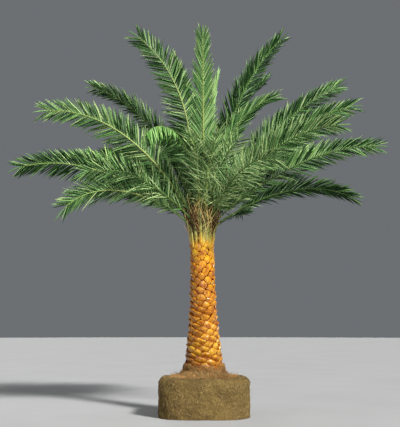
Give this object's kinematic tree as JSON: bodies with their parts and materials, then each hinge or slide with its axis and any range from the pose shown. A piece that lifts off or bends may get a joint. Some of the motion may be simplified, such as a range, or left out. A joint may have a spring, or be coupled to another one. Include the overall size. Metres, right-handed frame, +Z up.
{
  "type": "date palm",
  "caption": "Silver date palm on a dug root ball: a stout trunk sheathed in diamond-cut leaf bases under a rounded head of arching feather fronds, to plant or set in a scene.",
  "frame": {"origin": "middle of the root ball's flat underside", "axes": "+Z up along the trunk, +X to the right as seen from the front, the front faces -Y"},
  "size_m": [4.8926, 3.387, 5.0311],
  "materials": {
    "root_soil": "rough fibrous soil",
    "trunk_boots": "cut leaf bases, satin",
    "heart_fibre": "matt fibre",
    "frond_green": "satin leaf",
    "frond_young": "satin leaf"
  },
  "bodies": {
    "root": {"root_ball": "root_soil", "trunk": "trunk_boots", "heart": "heart_fibre", "frond_01": "frond_green", "frond_02": "frond_green", "frond_03": "frond_green", "frond_04": "frond_green", "frond_05": "frond_green", "frond_06": "frond_green", "frond_07": "frond_young", "frond_08": "frond_young", "frond_09": "frond_green", "frond_10": "frond_green", "frond_11": "frond_young", "frond_12": "frond_green", "frond_13": "frond_green", "frond_14": "frond_green", "frond_15": "frond_green", "frond_16": "frond_green", "frond_17": "frond_green", "frond_18": "frond_green", "frond_19": "frond_green", "frond_20": "frond_green", "frond_21": "frond_green", "frond_22": "frond_green", "frond_23": "frond_green", "frond_24": "frond_green", "frond_25": "frond_green", "frond_26": "frond_green", "frond_27": "frond_green", "frond_28": "frond_green", "frond_29": "frond_green", "frond_30": "frond_green", "frond_31": "frond_green", "frond_32": "frond_green", "frond_33": "frond_green", "frond_34": "frond_green", "frond_35": "frond_green", "frond_36": "frond_green", "frond_37": "frond_green"}
  },
  "joints": []
}
